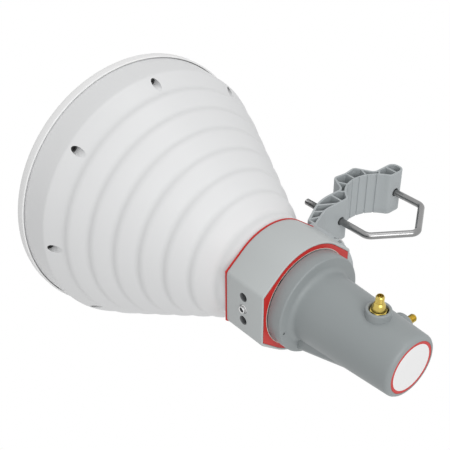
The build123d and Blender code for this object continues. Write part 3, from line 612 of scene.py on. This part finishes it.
def hexagon(name, flats, start, end, origin, along, chamfers=(0, 1)):
    """Hexagon bar cut to length, its corners turned off at the ends."""
    alone()
    along = Vector(along)
    corner = flats / 2 / cos(pi / 6)
    bpy.ops.mesh.primitive_cylinder_add(vertices=6, radius=corner * MM, depth=(end - start) * MM,
                                        location=origin + along * (start + end) / 2 * MM,
                                        rotation=along.to_track_quat("Z", "Y").to_euler())
    piece = bpy.context.object
    piece.name = name
    settle(piece)
    face = flats / 2 * 0.96
    drop = (corner - face) * tan(pi / 6)
    low, high = chamfers
    out = Vector((0, 0, 1)) if abs(along.z) < 0.5 else Vector((1, 0, 0))
    fuse(piece, lathe("turned_off", [(0, start), (face + (corner - face) * (1 - low), start),
                                     (corner + 0.01, start + drop * low), (corner + 0.01, end - drop * high),
                                     (face + (corner - face) * (1 - high), end), (0, end)],
                      start=origin, along=along, out=out, steps=96), "INTERSECT")
    soften(piece, 0.08, segments=1, angle=20, smooth=12)
    return piece


gold = plated("gold_plate", (0.66, 0.52, 0.15), (0.54, 0.41, 0.10), 0.16)
for port, (along, out) in ports.items():
    threads = []
    for turn in range(7):
        foot = THREAD_START + turn * THREAD_PITCH
        threads += [(THREAD_ROOT_R, foot), (THREAD_R, foot + THREAD_PITCH * 0.35),
                    (THREAD_R, foot + THREAD_PITCH * 0.5)]
    spindle = lathe("spindle", [
        (2.15, FLANGE_START), (HEX_FLATS / 2, FLANGE_START), (HEX_FLATS / 2, HEX_START + 0.5),
        (HEX_FLATS / 2 - 0.3, HEX_END), (SHOULDER_R, SHOULDER_TOP, 0.5), (THREAD_R, NECK_TOP, 0.3),
        (THREAD_ROOT_R, NECK_TOP + 0.15), *threads,
        (THREAD_ROOT_R, TIP - 0.3), (THREAD_ROOT_R - 0.15, TIP), (TIP_BORE_R, TIP),
        (TIP_BORE_R, TIP_BORE_FLOOR), (2.15, TIP_BORE_FLOOR)],
        start=port_start, along=along, out=out, steps=64, smooth=24)
    nut = hexagon("hexagon", HEX_FLATS, HEX_START, HEX_END, port_start, along)
    connector = merge(port + "_connector_body", [spindle, nut])
    connector.data.materials.append(gold)
    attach(connector, "adaptor")
    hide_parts(port + "_connector")
insulator_white = moulded("insulator_white", (0.84, 0.84, 0.80), (0.80, 0.80, 0.76), 0.4)
dress(insulator_white, "top_insulator", "side_insulator")
dress(gold, "top_probe", "side_probe")
dress(seal_black, "connector_seals")

# End label
# A round white foil with a red ring, laid in the recess at the housing's end. It carries no print.
label_white = moulded("label_white", (0.86, 0.86, 0.86), (0.83, 0.83, 0.83), 0.28, 300.0, 0.000006)
dress(label_white, "end_label")
dress(trim_red, "end_label_ring")

# Pole bracket
# A grey moulding with open cells above and below a middle web: the clamp block with its round,
# grooved channel, an arm, and the hub that turns on the ring's flat. The cells' floors and the pointer
# on the hub are painted darker and a little duller than the rest: painted shade for the deep cells.
CELL_FLOOR_TOP = 19.9

bracket_grey = moulded("bracket_grey", (0.44, 0.47, 0.48), (0.41, 0.44, 0.45), 0.42)
bracket = bpy.data.objects.new("pole_bracket_moulding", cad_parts["pole_bracket"].data.copy())
bpy.context.collection.objects.link(bracket)
alone(bracket)
bpy.ops.object.mode_set(mode="EDIT")
bpy.ops.mesh.customdata_custom_splitnormals_clear()
bpy.ops.mesh.select_all(action="SELECT")
bpy.ops.mesh.remove_doubles(threshold=0.005 * MM)
bpy.ops.mesh.dissolve_limited(angle_limit=radians(1.0))
bpy.ops.object.mode_set(mode="OBJECT")
soften(bracket, 0.25, segments=1, angle=50)
bracket.data.materials.clear()
bracket.data.materials.append(bracket_grey)
bracket.data.materials.append(moulded("cell_floor_painted_shade", (0.25, 0.265, 0.27), (0.22, 0.235, 0.24), 0.5))
# Flat faces near the middle web, the cells' floors, take the darker material as painted shade.
for face in bracket.data.polygons:
    if abs(face.normal.z) > 0.95 and abs(face.center.z) < CELL_FLOOR_TOP * MM:
        face.material_index = 1
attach(bracket, "bracket")
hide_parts("pole_bracket")
dress(seal_black, "friction_disc")

# Tilt bolts and washers
# Three stainless hexagon bolts hold the hub to the ring: the pivot in the middle, and two lock bolts
# in curved slots. Each has a turned washer under its head.
HEAD_X = 76.3
HEAD_H = 4.0
LOCK_BOLT_R = 3.0
LOCK_FLATS = 10.0
LOCK_LENGTH = 20.3
PIVOT_BOLT_R = 2.5
PIVOT_FLATS = 8.0
PIVOT_LENGTH = 21.3
WASHER_T = 1.2


def bolt(name, radius, length, flats, row):
    """Hexagon bolt along X, its head's seat at the washers."""
    seat = Vector((HEAD_X * MM, PIVOT.y, row * BOLT_CIRCLE * MM))
    shank = lathe("shank", [(0, -1), (radius, -1), (radius, length - 0.6), (radius - 0.6, length),
                            (0, length)], start=seat, along=(1, 0, 0), out=(0, 0, 1), steps=48)
    head = hexagon("head", flats, -HEAD_H, 0, seat, (1, 0, 0), chamfers=(1, 0))
    return merge(name, [shank, head])


lock_bolts = merge("lock_bolt_pair", [bolt("lock_bolt", LOCK_BOLT_R, LOCK_LENGTH, LOCK_FLATS, row)
                                      for row in (-1, 1)])
pivot_bolt = bolt("pivot_bolt_turned", PIVOT_BOLT_R, PIVOT_LENGTH, PIVOT_FLATS, 0)
washers = merge("hub_washer_set", [
    lathe("washer", [(inner, 0, 0.15), (outer, 0, 0.25), (outer, WASHER_T, 0.15), (inner, WASHER_T, 0.15)],
          start=Vector((HEAD_X * MM, PIVOT.y, row * BOLT_CIRCLE * MM)), along=(1, 0, 0), out=(0, 0, 1),
          steps=64)
    for row, inner, outer in ((-1, 3.2, 5.6), (0, 2.7, 4.6), (1, 3.2, 5.6))])
for piece, node in ((lock_bolts, "lock_bolts"), (pivot_bolt, "pivot_bolt"), (washers, "hub_washers")):
    piece.data.materials.append(stainless)
    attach(piece, "antenna")
    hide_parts(node)

# U-bolt
# A bright stainless rod, bent to a vee for the back of the pole, with rolled threads on both legs.
# Washers and nuts on the legs pull it against the bracket's back.
rod_steel = plated("rod_steel", (0.33, 0.33, 0.33), (0.24, 0.24, 0.24), 0.14)
ROD_R = 3.0
ROD_ROOT_R = 2.6
LEG_X = 35.35
LEG_END = -54.4
LEG_THREAD = 34
LEG_THREAD_PITCH = 1.0
BEND_R = 8.0
LEG_CORNER = 17.5
VEE_TIP = 42.3
LEG_WASHER_R = 6.0
LEG_WASHER_BORE_R = 3.5
CLAMP_BACK = -27.5
LEG_WASHER_T = 1.4
NUT_FLATS = 10.0
NUT_H = 5.0

turn = radians(90) - atan2(VEE_TIP - LEG_CORNER, LEG_X)
tip_turn = pi - 2 * turn
leg_cut = BEND_R * tan(turn / 2)
tip_cut = BEND_R * tan(tip_turn / 2)
slope_run = hypot(LEG_X, VEE_TIP - LEG_CORNER) - leg_cut - tip_cut
thread_end = LEG_END + LEG_THREAD


def bend(middle, angle):
    """Bends the rod's open end round an upright axis through middle."""
    bpy.ops.mesh.spin(steps=14, angle=angle, center=MM * Vector(middle), axis=(0, 0, 1))


def draw_out(length, heading):
    """Draws the rod's open end out straight, heading given from the X axis."""
    reach = MM * length * Vector((cos(heading), sin(heading), 0))
    bpy.ops.mesh.extrude_region_move(TRANSFORM_OT_translate={"value": reach})


alone()
bpy.ops.mesh.primitive_circle_add(vertices=40, radius=ROD_R * MM, fill_type="NGON", rotation=(pi / 2, 0, 0),
                                  location=MM * Vector((LEG_X, thread_end - 0.2, 0)))
u_bolt = bpy.context.object
settle(u_bolt)
bpy.ops.object.mode_set(mode="EDIT")
bpy.ops.mesh.select_all(action="SELECT")
draw_out(LEG_CORNER - leg_cut - thread_end + 0.2, pi / 2)
bend((LEG_X - BEND_R, LEG_CORNER - leg_cut, 0), -turn)
draw_out(slope_run, pi / 2 + turn)
bend((0, VEE_TIP - BEND_R / cos(tip_turn / 2), 0), -tip_turn)
draw_out(slope_run, pi / 2 + turn + tip_turn)
bend((BEND_R - LEG_X, LEG_CORNER - leg_cut, 0), -turn)
draw_out(LEG_CORNER - leg_cut - thread_end + 0.2, -pi / 2)
bpy.ops.mesh.select_all(action="SELECT")
bpy.ops.mesh.remove_doubles(threshold=0.002 * MM)
bpy.ops.mesh.normals_make_consistent(inside=False)
bpy.ops.object.mode_set(mode="OBJECT")
alone(u_bolt)
bpy.ops.object.shade_smooth_by_angle(angle=radians(40))
leg_thread = [(0, LEG_END), (ROD_ROOT_R - 0.3, LEG_END), (ROD_ROOT_R, LEG_END + 0.3)]
for k in range(LEG_THREAD - 1):
    foot = LEG_END + 0.4 + k * LEG_THREAD_PITCH
    leg_thread += [(ROD_R, foot + 0.4), (ROD_R, foot + 0.5), (ROD_ROOT_R, foot + 0.9)]
leg_thread += [(ROD_R, thread_end - 0.1), (0, thread_end - 0.1)]
threads = [lathe("leg_thread", leg_thread, start=MM * Vector((side * LEG_X, 0, 0)), steps=40, smooth=24)
           for side in (-1, 1)]
u_bolt = merge("u_bolt_rod", [u_bolt, *threads])
leg_washers, leg_nuts = [], []
for side in (-1, 1):
    seat = MM * Vector((side * LEG_X, CLAMP_BACK, 0))
    leg_washers.append(lathe("leg_washer", [
        (LEG_WASHER_BORE_R, 0, 0.2), (LEG_WASHER_R, 0, 0.25), (LEG_WASHER_R, LEG_WASHER_T, 0.2),
        (LEG_WASHER_BORE_R, LEG_WASHER_T, 0.2)], start=seat, along=(0, -1, 0), out=(0, 0, 1), steps=64))
    leg_nut = hexagon("leg_nut", NUT_FLATS, LEG_WASHER_T, LEG_WASHER_T + NUT_H, seat, (0, -1, 0),
                      chamfers=(1, 1))
    fuse(leg_nut, lathe("nut_bore", [(0, 0), (3.6, 0), (3.6, LEG_WASHER_T), (3.05, LEG_WASHER_T + 0.5),
                                     (3.05, LEG_WASHER_T + NUT_H - 0.5), (3.6, LEG_WASHER_T + NUT_H),
                                     (3.6, LEG_WASHER_T + NUT_H + 1), (0, LEG_WASHER_T + NUT_H + 1)],
                        start=seat, along=(0, -1, 0), out=(0, 0, 1), steps=48))
    leg_nuts.append(leg_nut)
for piece, node, body, finish in (
        (u_bolt, "u_bolt", "u_bolt", rod_steel),
        (merge("leg_washer_pair", leg_washers), "u_bolt_washers", "bracket", stainless),
        (merge("leg_nut_pair", leg_nuts), "u_bolt_nuts", "bracket", stainless)):
    piece.data.materials.clear()
    piece.data.materials.append(finish)
    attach(piece, body)
    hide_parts(node)

# Floor and surround
# A plain pale floor under the antenna. The camera, gloss and metal see it and the room as white.


def seen_white(finish_node):
    """Shows white to the camera, to gloss and through glass, and nothing of it to other light."""
    seen = [finish_node("ShaderNodeLightPath", {}, {}, output)
            for output in ("Is Camera Ray", "Is Glossy Ray", "Is Transmission Ray")]
    return seen[0].math("MAXIMUM", seen[0].math("MAXIMUM", seen[0], seen[1]), seen[2])


alone()
bpy.ops.mesh.primitive_plane_add(size=6.0, location=(PIVOT.x, PIVOT.y, -0.35))
floor = bpy.context.object
floor.name = "floor"
settle(floor)
paper = Finish("floor_paper", Base_Color=(0.82, 0.82, 0.82, 1), Roughness=0.9, Specular_IOR_Level=0.1)
white = paper.node("ShaderNodeEmission", {}, {"Color": (1, 1, 1, 1), "Strength": 1.0})
mixed = paper.node("ShaderNodeMixShader", {}, {0: seen_white(paper.node),
                                               1: Signal(paper, paper.shader.outputs[0]), 2: white})
paper.tree.links.new(mixed.socket, paper.tree.nodes["Material Output"].inputs["Surface"])
floor.data.materials.append(paper.material)

world = bpy.data.worlds.new("studio")
bpy.context.scene.world = world
world.use_nodes = True
room = Finish.__new__(Finish)
room.tree = world.node_tree
dim = room.tree.nodes["Background"]
dim.inputs["Color"].default_value = (1, 1, 1, 1)
dim.inputs["Strength"].default_value = 0.54
bright = room.node("ShaderNodeBackground", {}, {"Color": (1, 1, 1, 1), "Strength": 1.0})
either = room.node("ShaderNodeMixShader", {}, {0: seen_white(room.node), 1: Signal(room, dim.outputs[0]),
                                               2: bright})
room.tree.links.new(either.socket, room.tree.nodes["World Output"].inputs["Surface"])

# Lamps
# Two large soft boxes: the key beside the camera, so that the horn's ledges fall darker than its waves,
# and a weak one overhead.


def soft_box(name, spot, size, power):
    """Large soft lamp aimed at the antenna."""
    bpy.ops.object.light_add(type="AREA", location=spot)
    lamp = bpy.context.object
    lamp.name = name
    lamp.data.size = size
    lamp.data.energy = power
    lamp.rotation_euler = (Vector((PIVOT.x, 0, 0)) - Vector(spot)).to_track_quat("-Z", "Y").to_euler()


soft_box("key_box", (0.58, 1.15, 0.80), 0.9, 9.6)
soft_box("top_box", (-0.1, 0.1, 1.5), 0.8, 3.4)

# Camera
# The photograph's viewpoint: behind, above and to the open side, about 0.68 m from the pivot.
bpy.ops.object.camera_add(location=(0.51414, 0.40057, 0.42438),
                          rotation=(radians(54.5531), radians(0.7857), radians(140.0183)))
camera = bpy.context.object
camera.data.sensor_width = 36.0
camera.data.lens = 70.07
camera.data.shift_x = 0.01937
camera.data.shift_y = 0.03637
camera.data.clip_start = 0.01
bpy.context.scene.camera = camera
bpy.context.scene.view_settings.view_transform = "Standard"
